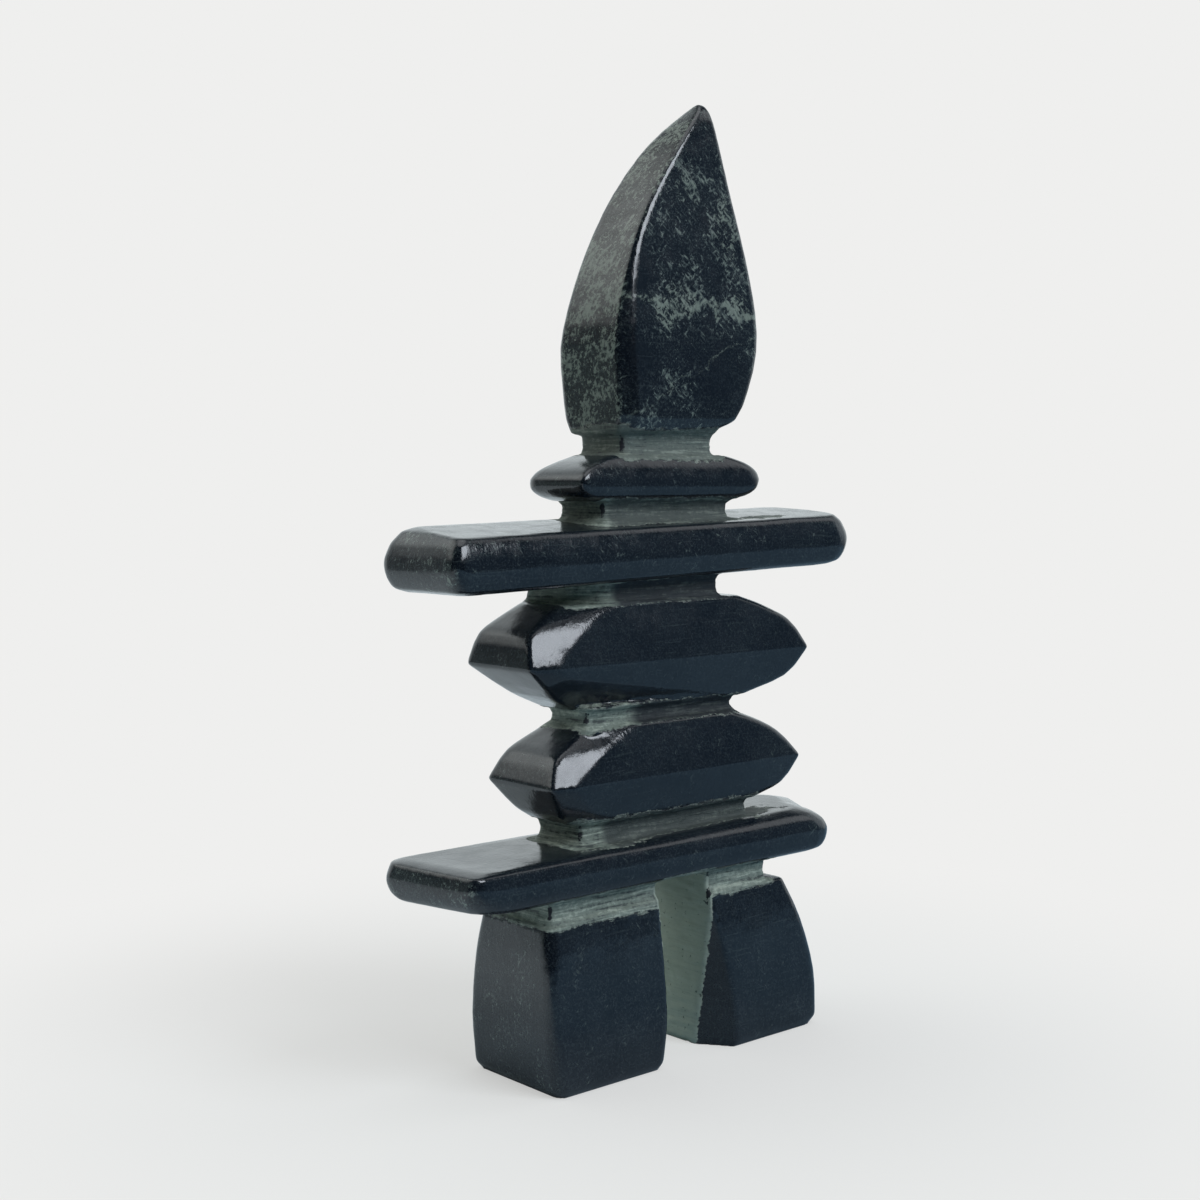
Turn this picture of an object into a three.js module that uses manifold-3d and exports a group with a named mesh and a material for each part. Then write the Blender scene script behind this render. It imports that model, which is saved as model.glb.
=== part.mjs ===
// A stone cairn figure (an inuksuk), carved in one piece from a block of dark soapstone.
// From the ground up it is two legs, a long hip slab, two belly stones, a long arm slab, a
// shoulder stone and a flame-shaped head. Each stone is ground to flat facets that meet at
// a ridge round its middle, and a coved waist of the same block joins it to the next stone.
//
// Millimetres, +Z up. X runs along the arms, and the front of the figure looks along -Y.
// The origin is on the ground, at the middle of the figure's box.
import * as THREE from "three";
import { ConvexGeometry } from "three/addons/geometries/ConvexGeometry.js";
import { mergeVertices } from "three/addons/utils/BufferGeometryUtils.js";
import Module from "manifold-3d";

const wasm = await Module();
wasm.setup();

// Driving dimensions: the height above the ground of each stone's foot, ridge and top.
const legs = { foot: 0, top: 33.6 };
const hips = { foot: 38.6, ridge: 43, top: 47.6 };
const lowerBelly = { foot: 52, ridge: 60.4, top: 71.4 };
const upperBelly = { foot: 74.6, ridge: 84.2, top: 96.2 };
const arms = { foot: 100.8, ridge: 106.4, top: 113.3 };
const shoulder = { foot: 116.6, ridge: 121.6, top: 126 };
const head = { foot: 130.8, ridge: 148, top: 200 };

const legGap = { left: -3.2, right: 11.1 }; // the slot between the legs, right through
const armTilt = 0.027; // the arms rise to the right by this much for each millimetre
const cornerSteps = 4; // chords in a quarter-round corner
const coveSteps = 4; // straight bands in each half of a coved waist

// A rounded rectangle at height z. left and right are its X limits, deep is its size along Y
// and round is its corner radius; edge is the radius of the front left corner. leftSlant and
// rightSlant move the back corner of an end outwards. tilt raises it to the right.
function outline(level) {
  const { z, left, right, deep, round, edge = round, leftSlant = 0, rightSlant = 0, tilt = 0 } = level;
  const half = deep / 2;
  const corners = [
    [right + rightSlant - round, half - round, round],
    [left - leftSlant + round, half - round, round],
    [left + edge, edge - half, edge],
    [right - round, round - half, round],
  ];
  const points = [];
  corners.forEach(([x, y, radius], corner) => {
    for (let step = 0; step <= cornerSteps; step++) {
      const angle = (Math.PI / 2) * (corner + step / cornerSteps);
      const px = x + radius * Math.cos(angle);
      points.push(new THREE.Vector3(px, y + radius * Math.sin(angle), z + tilt * px));
    }
  });
  return points;
}

// A closed three.js geometry as a solid that can be joined and cut.
function solidOf(geometry) {
  const bare = geometry.clone();
  bare.deleteAttribute("normal");
  bare.deleteAttribute("uv");
  const merged = mergeVertices(bare, 1e-4);
  return new wasm.Manifold(
    new wasm.Mesh({
      numProp: 3,
      vertProperties: merged.attributes.position.array,
      triVerts: new Uint32Array(merged.index.array),
    }),
  );
}

// A stone with flat facets: the convex hull of the outlines at its levels.
function stone(levels) {
  return solidOf(new ConvexGeometry(levels.flatMap(outline)));
}

// A waist between two stones, hollowed all round by a round rasp. It flares by flare at its
// foot and at its top, and runs on into the stones by sink.
function waist({ foot, top, flare, sink = 0.5, ...section }) {
  const half = (top - foot) / 2;
  const bands = [];
  for (let step = -coveSteps; step <= coveSteps; step++) {
    const share = step / coveSteps;
    const grow = flare * (1 - Math.sqrt(1 - share * share));
    bands.push({
      ...section,
      z: foot + half + half * share,
      left: section.left - grow,
      right: section.right + grow,
      deep: section.deep + 2 * grow,
      round: section.round + grow,
    });
  }
  bands.unshift({ ...bands[0], z: foot - sink });
  bands.push({ ...bands.at(-1), z: top + sink });
  let joined = stone([bands[0], bands[1]]);
  for (let i = 2; i < bands.length; i++) {
    joined = joined.add(stone([bands[i - 1], bands[i]]));
  }
  return joined;
}

// Cuts away what lies beyond the plane through three points, on the far side from keep.
function cutPlane(solid, a, b, c, keep) {
  const plane = new THREE.Plane().setFromCoplanarPoints(
    new THREE.Vector3(...a),
    new THREE.Vector3(...b),
    new THREE.Vector3(...c),
  );
  if (plane.distanceToPoint(new THREE.Vector3(...keep)) < 0) plane.negate();
  return solid.trimByPlane(plane.normal.toArray(), -plane.constant);
}

const leftLeg = stone([
  { z: legs.foot, left: -32, right: -4.6, deep: 26.4, round: 2, edge: 2.5 },
  { z: 1.6, left: -33.2, right: -3.8, deep: 28, round: 2, edge: 2.5 },
  { z: 12, left: -34.2, right: -2.6, deep: 27.4, round: 2, edge: 2.5 },
  { z: 25, left: -34.1, right: -2.6, deep: 24.8, round: 2, edge: 2.5 },
  { z: legs.top + 1.4, left: -33.2, right: -2.6, deep: 22, round: 2, edge: 2.5, tilt: 0.04 },
]);

// The right leg's inner front edge is ground to a bevel that widens towards the ground.
const rightLeg = cutPlane(
  stone([
    { z: legs.foot, left: 11.1, right: 42, deep: 26, round: 3 },
    { z: 1.8, left: 11.1, right: 43.4, deep: 27.6, round: 3 },
    { z: 12, left: 11.1, right: 43, deep: 27.2, round: 3 },
    { z: 24, left: 11.1, right: 39.7, deep: 25, round: 3 },
    { z: legs.top, left: 11.1, right: 34.6, deep: 22, round: 2 },
  ]),
  [16.7, -13.5, 0],
  [11.1, -5.8, 0],
  [11.1, -11, 32],
  [25, 0, 15],
);

const hipSlab = stone([
  { z: hips.foot - 0.2, left: -46, right: 42, deep: 21, round: 5, leftSlant: 3, rightSlant: 6 },
  { z: 39.6, left: -51, right: 47, deep: 25, round: 6, leftSlant: 3, rightSlant: 6 },
  { z: hips.ridge, left: -53.4, right: 50, deep: 26.8, round: 6, leftSlant: 3, rightSlant: 6 },
  { z: 45.8, left: -50.8, right: 48.4, deep: 25.6, round: 6, leftSlant: 3, rightSlant: 5.5 },
  { z: hips.top, left: -42, right: 41, deep: 20, round: 5, leftSlant: 2, rightSlant: 4, tilt: 0.015 },
]);

const lowerBellyStone = stone([
  { z: lowerBelly.foot, left: -23.5, right: 29.6, deep: 16.4, round: 3 },
  { z: 54.4, left: -26.8, right: 36.4, deep: 18.2, round: 2.5 },
  { z: lowerBelly.ridge, left: -31.5, right: 39.6, deep: 22.2, round: 1.2 },
  { z: 66.2, left: -28.2, right: 34.4, deep: 20, round: 3, edge: 5 },
  { z: 69.6, left: -22.4, right: 28, deep: 17.8, round: 4, edge: 6.5 },
  { z: lowerBelly.top, left: -19.4, right: 22.5, deep: 16.4, round: 4, edge: 5 },
]);

const upperBellyStone = stone([
  { z: upperBelly.foot, left: -20.8, right: 25.4, deep: 15.6, round: 3 },
  { z: 78, left: -28, right: 37.2, deep: 18.4, round: 2.5 },
  { z: upperBelly.ridge, left: -36.6, right: 41.9, deep: 22.4, round: 1.2 },
  { z: 90.6, left: -35, right: 37.4, deep: 20.4, round: 3, edge: 5 },
  { z: 94, left: -30.2, right: 30.6, deep: 18.4, round: 4, edge: 6.5 },
  { z: upperBelly.top, left: -25.6, right: 24, deep: 17.2, round: 4, edge: 5, leftSlant: 0.8 },
]);

const armSlab = stone([
  { z: arms.foot, left: -50.4, right: 50.4, deep: 20, round: 5, tilt: armTilt },
  { z: 101.8, left: -54.2, right: 54.4, deep: 23, round: 5, tilt: armTilt },
  { z: arms.ridge, left: -56.4, right: 56.4, deep: 25.2, round: 5, tilt: armTilt },
  { z: 110.8, left: -54, right: 54.4, deep: 22, round: 5, tilt: armTilt },
  { z: arms.top, left: -45, right: 48, deep: 11, round: 4, tilt: armTilt },
]);

const shoulderStone = stone([
  { z: shoulder.foot, left: -18.4, right: 24, deep: 15.2, round: 3 },
  { z: 117.8, left: -21.8, right: 27.6, deep: 18.5, round: 3.5 },
  { z: shoulder.ridge, left: -23.2, right: 29.6, deep: 19.8, round: 4 },
  { z: 124, left: -18.5, right: 25.4, deep: 17, round: 4 },
  { z: shoulder.top, left: -12.4, right: 19, deep: 14.4, round: 3 },
]);

const headStone = stone([
  { z: head.foot, left: -11.2, right: 17, deep: 16.5, round: 2.4, leftSlant: 0.6, tilt: 0.05 },
  { z: 133.4, left: -11.6, right: 20.8, deep: 18.8, round: 2.4, leftSlant: 0.8 },
  { z: 140, left: -12, right: 24.6, deep: 19.2, round: 2.4, leftSlant: 1.2 },
  { z: head.ridge, left: -12.3, right: 27.2, deep: 18.8, round: 2.4, leftSlant: 1.6 },
  { z: 156, left: -11, right: 27.6, deep: 17.4, round: 2.4, edge: 2, leftSlant: 1.5 },
  { z: 164, left: -8.7, right: 26.4, deep: 15.6, round: 2.2, edge: 1.6, leftSlant: 1.3 },
  { z: 172, left: -5.2, right: 24.6, deep: 13.8, round: 2, edge: 1.1, leftSlant: 1.4 },
  { z: 180, left: 0, right: 22.6, deep: 11.8, round: 1.8, edge: 0.8, leftSlant: 2.2 },
  { z: 188, left: 6.2, right: 20.8, deep: 9.8, round: 1.5, edge: 0.8, leftSlant: 2.4 },
  { z: 194, left: 11.4, right: 19.8, deep: 7.6, round: 1.3, edge: 0.8, leftSlant: 1.6 },
  { z: 198, left: 15.2, right: 19.4, deep: 4.8, round: 1, edge: 0.7, leftSlant: 0.4 },
  { z: head.top, left: 17, right: 18.9, deep: 1.6, round: 0.6 },
]);

const waists = [
  { foot: 33.4, top: 39, left: -31.6, right: 29.5, deep: 19.4, round: 2, flare: 1.3 },
  { foot: 46.9, top: 52.6, left: -21, right: 27.2, deep: 12.4, round: 2, leftSlant: 1, flare: 2 },
  { foot: 70.8, top: 75, left: -19, right: 23.2, deep: 11.6, round: 2, flare: 1.8 },
  { foot: 95.8, top: 101.6, left: -21, right: 17.5, deep: 14, round: 2, leftSlant: 3.4, flare: 1.6 },
  { foot: 112.3, top: 117, left: -15, right: 21, deep: 12.6, round: 2, leftSlant: 0.8, flare: 1.5 },
  { foot: 125.4, top: 131.2, left: -9.6, right: 16.4, deep: 12.2, round: 2, leftSlant: 0.8, flare: 1.6 },
];

let carving = leftLeg;
for (const next of [rightLeg, hipSlab, lowerBellyStone, upperBellyStone, armSlab, shoulderStone, headStone]) {
  carving = carving.add(next);
}
for (const size of waists) {
  carving = carving.add(waist(size));
}
const slot = new THREE.BoxGeometry(legGap.right - legGap.left, 60, hips.foot + 20);
slot.translate((legGap.left + legGap.right) / 2, 0, (hips.foot - 20) / 2);
carving = carving.subtract(solidOf(slot));

// The carving as a three.js geometry.
function geometryOf(solid) {
  const made = solid.getMesh();
  const geometry = new THREE.BufferGeometry();
  geometry.setAttribute("position", new THREE.BufferAttribute(made.vertProperties, 3));
  geometry.setIndex(new THREE.BufferAttribute(made.triVerts, 1));
  geometry.computeVertexNormals();
  return geometry;
}

const soapstone = new THREE.MeshStandardMaterial({ color: 0x23292c, roughness: 0.3, metalness: 0 });
const cairn = new THREE.Mesh(geometryOf(carving), soapstone);
cairn.name = "carved_cairn";
const figure = new THREE.Group();
figure.add(cairn);

export default figure;
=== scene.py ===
import math
import bmesh
import bpy
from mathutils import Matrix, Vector


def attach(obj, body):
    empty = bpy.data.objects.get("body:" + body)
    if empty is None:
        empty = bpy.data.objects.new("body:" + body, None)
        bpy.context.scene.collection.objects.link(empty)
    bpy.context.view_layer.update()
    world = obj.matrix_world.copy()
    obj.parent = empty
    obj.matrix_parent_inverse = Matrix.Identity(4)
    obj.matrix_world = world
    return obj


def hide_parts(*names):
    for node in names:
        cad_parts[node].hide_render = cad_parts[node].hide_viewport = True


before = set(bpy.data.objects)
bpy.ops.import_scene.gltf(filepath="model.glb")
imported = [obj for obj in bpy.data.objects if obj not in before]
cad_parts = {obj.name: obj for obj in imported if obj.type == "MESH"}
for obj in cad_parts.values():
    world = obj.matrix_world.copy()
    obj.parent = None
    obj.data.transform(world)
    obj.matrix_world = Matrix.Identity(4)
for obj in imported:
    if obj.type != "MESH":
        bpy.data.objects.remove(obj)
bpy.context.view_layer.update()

mm = 0.001  # the sizes below are in millimetres
print("stage: frame loaded")


def leaveEditMode():
    if bpy.context.mode != "OBJECT":
        bpy.ops.object.mode_set(mode="OBJECT")


def selectNothing():
    leaveEditMode()
    bpy.ops.object.select_all(action="DESELECT")


def pickOnly(thing):
    selectNothing()
    thing.select_set(True)
    bpy.context.view_layer.objects.active = thing


def editMode(thing):
    pickOnly(thing)
    bpy.ops.object.mode_set(mode="EDIT")


def selectParts(thing, kind, wanted):
    # kind is verts or faces, and wanted says which of them
    bpy.ops.mesh.select_mode(type={"verts": "VERT", "faces": "FACE"}[kind])
    bpy.ops.mesh.select_all(action="DESELECT")
    shape = bmesh.from_edit_mesh(thing.data)
    for part in getattr(shape, kind):
        if wanted(part):
            part.select_set(True)
    shape.select_flush_mode()
    bmesh.update_edit_mesh(thing.data)


def applyModifier(thing, kind, label, **values):
    pickOnly(thing)
    modifier = thing.modifiers.new(label, kind)
    for key, value in values.items():
        setattr(modifier, key, value)
    bpy.ops.object.modifier_apply(modifier=modifier.name)


def removePiece(thing):
    pickOnly(thing)
    bpy.ops.object.delete()


cameraSettings = {
    "place": (-248.1, -269.9, 121.9),
    "turn": 41.4,      # degrees from +Y towards +X
    "dip": 4.07,       # degrees below the horizon
    "lens": 52.68,
    "sensor": 36,
    "clip": (10, 30000),
}
selectNothing()
bpy.ops.object.camera_add(
    location=[n * mm for n in cameraSettings["place"]],
    rotation=(math.radians(90 - cameraSettings["dip"]), 0, math.radians(-cameraSettings["turn"])),
)
camera = bpy.context.object
camera.name = "tripod camera"
camera.data.lens = cameraSettings["lens"]
camera.data.sensor_width = cameraSettings["sensor"]
camera.data.clip_start, camera.data.clip_end = [n * mm for n in cameraSettings["clip"]]
bpy.context.scene.camera = camera
print("stage: camera placed")

# A ring is one level of a stone: height, left, right and depth, the radius of the front left
# corner, the radius of the others, how much further out the back left and back right corners
# stand, and how much the ring rises for each millimetre to the right. The last three may be left out.
ringSettings = {
    "cornerSteps": 4,
    "flatness": 0.85,   # of a stretched corner: 0 is an ellipse and 1 a flat bevel
    "overshoot": 0.2,   # how far past its place a ring is extruded, to stay clear of the one below
    "matchWithin": 0.001,
}


def fullRing(ring):
    return (tuple(ring) + (0, 0, 0))[:9]


def ringPoints(ring, backLeft, stretch):
    z, left, right, depth, edge, rounding, leftSlant, rightSlant, lean = fullRing(ring)
    half = depth / 2
    inner = backLeft or rounding
    corners = (
        (left + edge * stretch, edge - half, edge * stretch, edge, 180),
        (right - rounding, rounding - half, rounding, rounding, 270),
        (right + rightSlant - rounding, half - rounding, rounding, rounding, 0),
        (left - leftSlant + inner, half - inner, inner, inner, 90),
    )
    steps = ringSettings["cornerSteps"]
    points = []
    for x, y, radiusX, radiusY, start in corners:
        ends = [(math.cos(math.radians(a)), math.sin(math.radians(a))) for a in (start, start + 90)]
        flat = ringSettings["flatness"] if radiusX != radiusY else 0
        for step in range(steps + 1):
            share = step / steps
            angle = math.radians(start + 90 * share)
            across = (1 - flat) * math.cos(angle) + flat * (ends[0][0] * (1 - share) + ends[1][0] * share)
            along = (1 - flat) * math.sin(angle) + flat * (ends[0][1] * (1 - share) + ends[1][1] * share)
            px = x + radiusX * across
            points.append(Vector((px, y + radiusY * along, z + lean * px)) * mm)
    return points


def easedRings(rings, breaks, between):
    # adds rings between the given ones on a smooth curve, which may turn sharply only at a break
    full = [fullRing(ring) for ring in rings]
    eased = [full[0]]
    for i in range(len(full) - 1):
        a, b = full[i], full[i + 1]
        before = a if i == 0 or i in breaks else full[i - 1]
        after = b if i + 2 == len(full) or i + 1 in breaks else full[i + 2]
        rise = b[0] - a[0]
        for step in range(1, between + 2):
            t = step / (between + 1)
            ring = [a[0] + rise * t]
            for k in range(1, len(a)):
                slopeA = (b[k] - before[k]) / (b[0] - before[0]) * rise
                slopeB = (after[k] - a[k]) / (after[0] - a[0]) * rise
                ring.append((2 * t ** 3 - 3 * t ** 2 + 1) * a[k] + (t ** 3 - 2 * t ** 2 + t) * slopeA
                            + (3 * t ** 2 - 2 * t ** 3) * b[k] + (t ** 3 - t ** 2) * slopeB)
            eased.append(tuple(ring))
    return eased


def isAt(vertex, point):
    return (vertex.co - point).length < ringSettings["matchWithin"] * mm


def layRing(stone, starts, ends):
    # moves each corner of the selected ring from its start to its end
    for start, end in zip(starts, ends):
        selectParts(stone, "verts", lambda v: isAt(v, start))
        bpy.ops.transform.translate(value=end - start)


def raiseStone(name, rings, backLeft=0, stretch=1):
    # a disc laid out as the first ring, and extruded from ring to ring
    selectNothing()
    count = 4 * (ringSettings["cornerSteps"] + 1)
    bpy.ops.mesh.primitive_circle_add(vertices=count, radius=mm, fill_type="NGON", location=(0, 0, 0))
    stone = bpy.context.object
    stone.name = name
    starts = sorted((v.co.copy() for v in stone.data.vertices), key=lambda p: math.atan2(p.y, p.x))
    bpy.ops.object.mode_set(mode="EDIT")
    last = ringPoints(rings[0], backLeft, stretch)
    layRing(stone, starts, last)
    bpy.ops.mesh.select_all(action="SELECT")
    for ring in rings[1:]:
        ends = ringPoints(ring, backLeft, stretch)
        rise = Vector((0, 0, ends[0].z - last[0].z + ringSettings["overshoot"] * mm))
        bpy.ops.mesh.extrude_region_move(TRANSFORM_OT_translate={"value": rise})
        layRing(stone, [point + rise for point in last], ends)
        last = ends
        selectParts(stone, "faces", lambda f: len(f.verts) == count and all(
            any(isAt(v, point) for point in last) for v in f.verts))
    bpy.ops.mesh.select_all(action="SELECT")
    bpy.ops.mesh.normals_make_consistent(inside=False)
    leaveEditMode()
    return stone


def grindFacet(stone, a, b, c, keep):
    # cuts away what lies past the plane through a, b and c, on the far side from keep
    a, b, c, keep = (Vector(p) * mm for p in (a, b, c, keep))
    normal = (b - a).cross(c - a).normalized()
    if (keep - a).dot(normal) > 0:
        normal = -normal
    editMode(stone)
    bpy.ops.mesh.select_all(action="SELECT")
    bpy.ops.mesh.bisect(plane_co=a, plane_no=normal, use_fill=True, clear_outer=True)
    leaveEditMode()


def carveStone(name, sizes):
    rings = easedRings(sizes["rings"], sizes["breaks"], sizes["between"])
    stone = raiseStone(name, rings, sizes.get("backLeft", 0), sizes.get("stretch", 1))
    for facet in sizes.get("facets", []):
        grindFacet(stone, *facet)
    return stone


# For each stone, breaks are the rings where its outline turns sharply, between is how many rings are
# added on each stretch, backLeft is the radius of that corner, and stretch draws the front left
# corner out to the right, as a bevel. A facet is three points on it and one in the stone that stays.
leftLeg = {
    "rings": [(0, -32, -4.6, 26.4, 2.2, 2), (1.6, -33.2, -3.8, 27.8, 2.2, 2), (12, -34.2, -2.4, 27.4, 2.2, 2),
              (25, -34.1, -2.4, 24.8, 2.2, 2), (35, -33.2, -2.4, 22, 2.2, 2, 0, 0, 0.04)],
    "breaks": [1], "between": 2,
}
rightLeg = {
    "rings": [(0, 11.1, 42, 26, 1, 3), (1.8, 11.1, 43.4, 27.6, 1, 3), (12, 11.1, 43, 27.2, 1, 3),
              (24, 11.1, 39.7, 25, 1, 3), (33.6, 11.1, 34.6, 22, 1, 2)],
    "breaks": [1], "between": 2,
    "facets": [((16.7, -13.5, 0), (11.1, -5.8, 0), (11.1, -11, 32), (25, 0, 15))],
}
hipSlab = {
    "rings": [(38.4, -47.6, 46.5, 21.6, 6.5, 5.5, 3, 6), (39.3, -51.4, 49.2, 24.8, 6, 6.5, 3, 6.2),
              (43, -53.4, 50, 26.8, 3.5, 7, 3, 6.2), (45.9, -52.6, 48.9, 25.8, 2, 7, 3, 6, -0.012),
              (47, -49.4, 46.4, 23, 3, 7, 3, 5.6), (47.6, -44.5, 42.5, 19, 4, 6, 2, 4, 0.015)],
    "breaks": [3], "between": 2, "backLeft": 4,
}
lowerBelly = {
    "rings": [(52, -23.5, 29.6, 16.4, 2.5, 3), (54.4, -26.8, 36.4, 18.2, 1.8, 2.5),
              (60.4, -31.5, 39.6, 22.2, 1.3, 1.2), (66.2, -28.2, 34.4, 20, 2.5, 3),
              (69.6, -22.4, 28, 17.8, 2.8, 4), (71.4, -19.4, 22.5, 16.4, 3, 4.5)],
    "breaks": [2], "between": 2, "stretch": 4,
}
upperBelly = {
    "rings": [(74.6, -20.8, 25.4, 15.6, 2.5, 3), (78, -28, 37.2, 18.4, 1.8, 2.5),
              (84.2, -36.6, 41.9, 22.4, 1.5, 1.2), (90.6, -35, 37.4, 20.4, 2.6, 3),
              (94, -30.2, 30.6, 18.4, 2.8, 4), (96.2, -25.6, 24, 17.2, 3, 4.5, 0.8)],
    "breaks": [2], "between": 2, "stretch": 4.2,
    "facets": [((-36, -10.7, 83.3), (15, -8.4, 76), (-30, -4.4, 76), (0, 0, 84))],
}
armSlab = {
    "rings": [(100.8, -52.6, 51.4, 20, 2.6, 5, 0, 0, 0.027), (101.8, -55, 54.6, 23.2, 2.6, 6, 0, 0, 0.027),
              (106.4, -56.4, 56.4, 25.2, 2.4, 6.5, 0, 0, 0.027),
              (110.3, -55.4, 55.2, 23.4, 2, 6.5, 0, 0, 0.027),
              (112.6, -53.8, 52.8, 20.2, 2.4, 6, 0, 0, 0.027), (113.3, -51, 48.6, 18, 3, 5, 0, 0, 0.027)],
    "breaks": [3, 4], "between": 2, "backLeft": 3,
    "facets": [((-50, 9, 112.3), (50, 9, 115), (50, -9.5, 113.1), (0, 0, 105))],
}
shoulderStone = {
    "rings": [(116.6, -18.2, 21.5, 15, 1.6, 3), (117.5, -21, 25.8, 17.8, 1.4, 4),
              (119, -23, 28.6, 19.4, 1.2, 4.5), (121, -23.3, 29.6, 19.8, 1, 5),
              (122.8, -21.6, 29.2, 18.6, 1, 5), (124.6, -17.4, 26.4, 16.6, 1, 4.5),
              (126, -12.4, 21, 14.4, 1, 3)],
    "breaks": [3], "between": 2,
}
headStone = {
    "rings": [(130.8, -11.2, 17, 16.5, 2, 2, 0.6, 0, 0.05), (133.4, -11.6, 20.8, 18.8, 2, 2, 0.8),
              (140, -12, 24.6, 19.2, 2, 2, 1.2), (148, -12.3, 27.2, 18.8, 1.9, 2, 1.6),
              (156, -11, 27.6, 17.4, 1.5, 2, 1.5), (164, -8.7, 26.4, 15.6, 0.8, 1.8, 1.3),
              (172, -5.2, 24.6, 13.8, 0.5, 1.6, 1.4), (180, 0, 22.6, 11.8, 0.35, 1.4, 2.2),
              (188, 6.2, 20.8, 9.8, 0.3, 1.3, 2.4), (194, 11.4, 19.8, 7.6, 0.3, 1.2, 1.6),
              (198, 15.2, 19.4, 4.8, 0.3, 0.9, 0.4), (200, 17, 18.9, 1.6, 0.25, 0.5)],
    "breaks": [], "between": 1, "stretch": 1.75,
}

stones = []
for name, sizes in (
    ("left leg", leftLeg), ("right leg", rightLeg), ("hip slab", hipSlab), ("lower belly", lowerBelly),
    ("upper belly", upperBelly), ("arm slab", armSlab), ("shoulder stone", shoulderStone),
    ("head stone", headStone),
):
    stones.append(carveStone(name, sizes))
print("stage: stones shaped")

# Each waist is a coved block between two stones. Its darkening is where along x its fronts, backs and tops
# begin to darken, where they are darkest, and how dark. Some have their own reach of the rasp up and down,
# their own crack along x, their own bevel (the radius of the front left corner and its stretch) or their own
# darkening at the sides; under the head stone that is painted shadow.
waistSizes = [
    {"foot": 33.4, "top": 39, "left": -31.6, "right": 29.5, "depth": 19.4, "flare": 1.3, "slant": 0,
     "darkening": (0, 40, 0), "reach": 1.6},
    {"foot": 46.9, "top": 52.6, "left": -21, "right": 27.2, "depth": 12.4, "flare": 2, "slant": 1,
     "darkening": (-16, -14, 0.8)},
    {"foot": 70.8, "top": 75, "left": -19, "right": 23.2, "depth": 11.6, "flare": 1.8, "slant": 0,
     "darkening": (-9, -5, 1), "reach": 1.7},
    {"foot": 95.8, "top": 101.6, "left": -21, "right": 17.5, "depth": 14, "flare": 1.6, "slant": 3.4,
     "darkening": (-14.5, -12, 1), "crack": -13, "reach": 1.3, "bevel": (5, 1.4)},
    {"foot": 112.3, "top": 117, "left": -15, "right": 21, "depth": 12.6, "flare": 1.5, "slant": 0.8,
     "darkening": (-15, -13, 0.7)},
    # under the head stone the dark sides are painted shadow of the head
    {"foot": 125.4, "top": 131.2, "left": -9.6, "right": 16.4, "depth": 12.2, "flare": 1.6, "slant": 0.8,
     "darkening": (-9, -7, 0.3), "side": 0.45},
]
waistShape = {"bands": 4, "bevel": (1.2, 1), "rounding": 1.6, "overlap": 0.5}


def raspWaist(name, sizes):
    half = (sizes["top"] - sizes["foot"]) / 2
    edge, stretch = sizes.get("bevel", waistShape["bevel"])
    rings = []
    for step in range(-waistShape["bands"], waistShape["bands"] + 1):
        share = step / waistShape["bands"]
        grow = sizes["flare"] * (1 - math.sqrt(1 - share * share))
        rings.append((sizes["foot"] + half + half * share, sizes["left"] - grow, sizes["right"] + grow,
                      sizes["depth"] + 2 * grow, edge + grow, waistShape["rounding"] + grow, sizes["slant"]))
    # both ends run on into the stones
    rings.insert(0, (rings[0][0] - waistShape["overlap"],) + rings[0][1:])
    rings.append((rings[-1][0] + waistShape["overlap"],) + rings[-1][1:])
    return raiseStone(name, rings, stretch=stretch)


waists = [raspWaist("waist %d" % (i + 1), sizes) for i, sizes in enumerate(waistSizes)]
print("stage: waists shaped")

carving = stones[0]
carving.name = "soapstone_carving"
for piece in stones + waists:
    # twisted faces are split first, so that the union comes out the same each time
    applyModifier(piece, "TRIANGULATE", "flat faces", quad_method="FIXED")
for piece in stones[1:] + waists:
    applyModifier(carving, "BOOLEAN", "join", operation="UNION", object=piece, solver="EXACT")
    removePiece(piece)

# the slot between the legs; its cutter starts below the ground and runs past the front and back
slotSizes = {"left": -3.2, "right": 11.1, "top": 38.6, "below": 10, "depth": 40}
slotSpan = (slotSizes["left"], slotSizes["right"])
selectNothing()
bpy.ops.mesh.primitive_cube_add(
    size=mm,
    location=(sum(slotSpan) / 2 * mm, 0, (slotSizes["top"] - slotSizes["below"]) / 2 * mm),
    scale=(slotSpan[1] - slotSpan[0], slotSizes["depth"], slotSizes["top"] + slotSizes["below"]),
)
slotCutter = bpy.context.object
pickOnly(slotCutter)
bpy.ops.object.transform_apply(location=True, rotation=True, scale=True)
applyModifier(carving, "BOOLEAN", "slot", operation="DIFFERENCE", object=slotCutter, solver="EXACT")
removePiece(slotCutter)
print("stage: joined,", len(carving.data.polygons), "faces")

meshSettings = {
    "voxel": 0.5,
    "wear": (0.5, 6),   # how strongly the edges are worn, and how many times
    "kept": 0.46,       # share of the faces left by the thinning
    "footBand": 0.25,   # what faces down this near the ground is pressed flat
}
applyModifier(carving, "REMESH", "grain", mode="VOXEL", voxel_size=meshSettings["voxel"] * mm,
              use_smooth_shade=True)
wearFactor, wearPasses = meshSettings["wear"]
applyModifier(carving, "SMOOTH", "wear", factor=wearFactor, iterations=wearPasses)
print("stage: remeshed,", len(carving.data.polygons), "faces")

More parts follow.
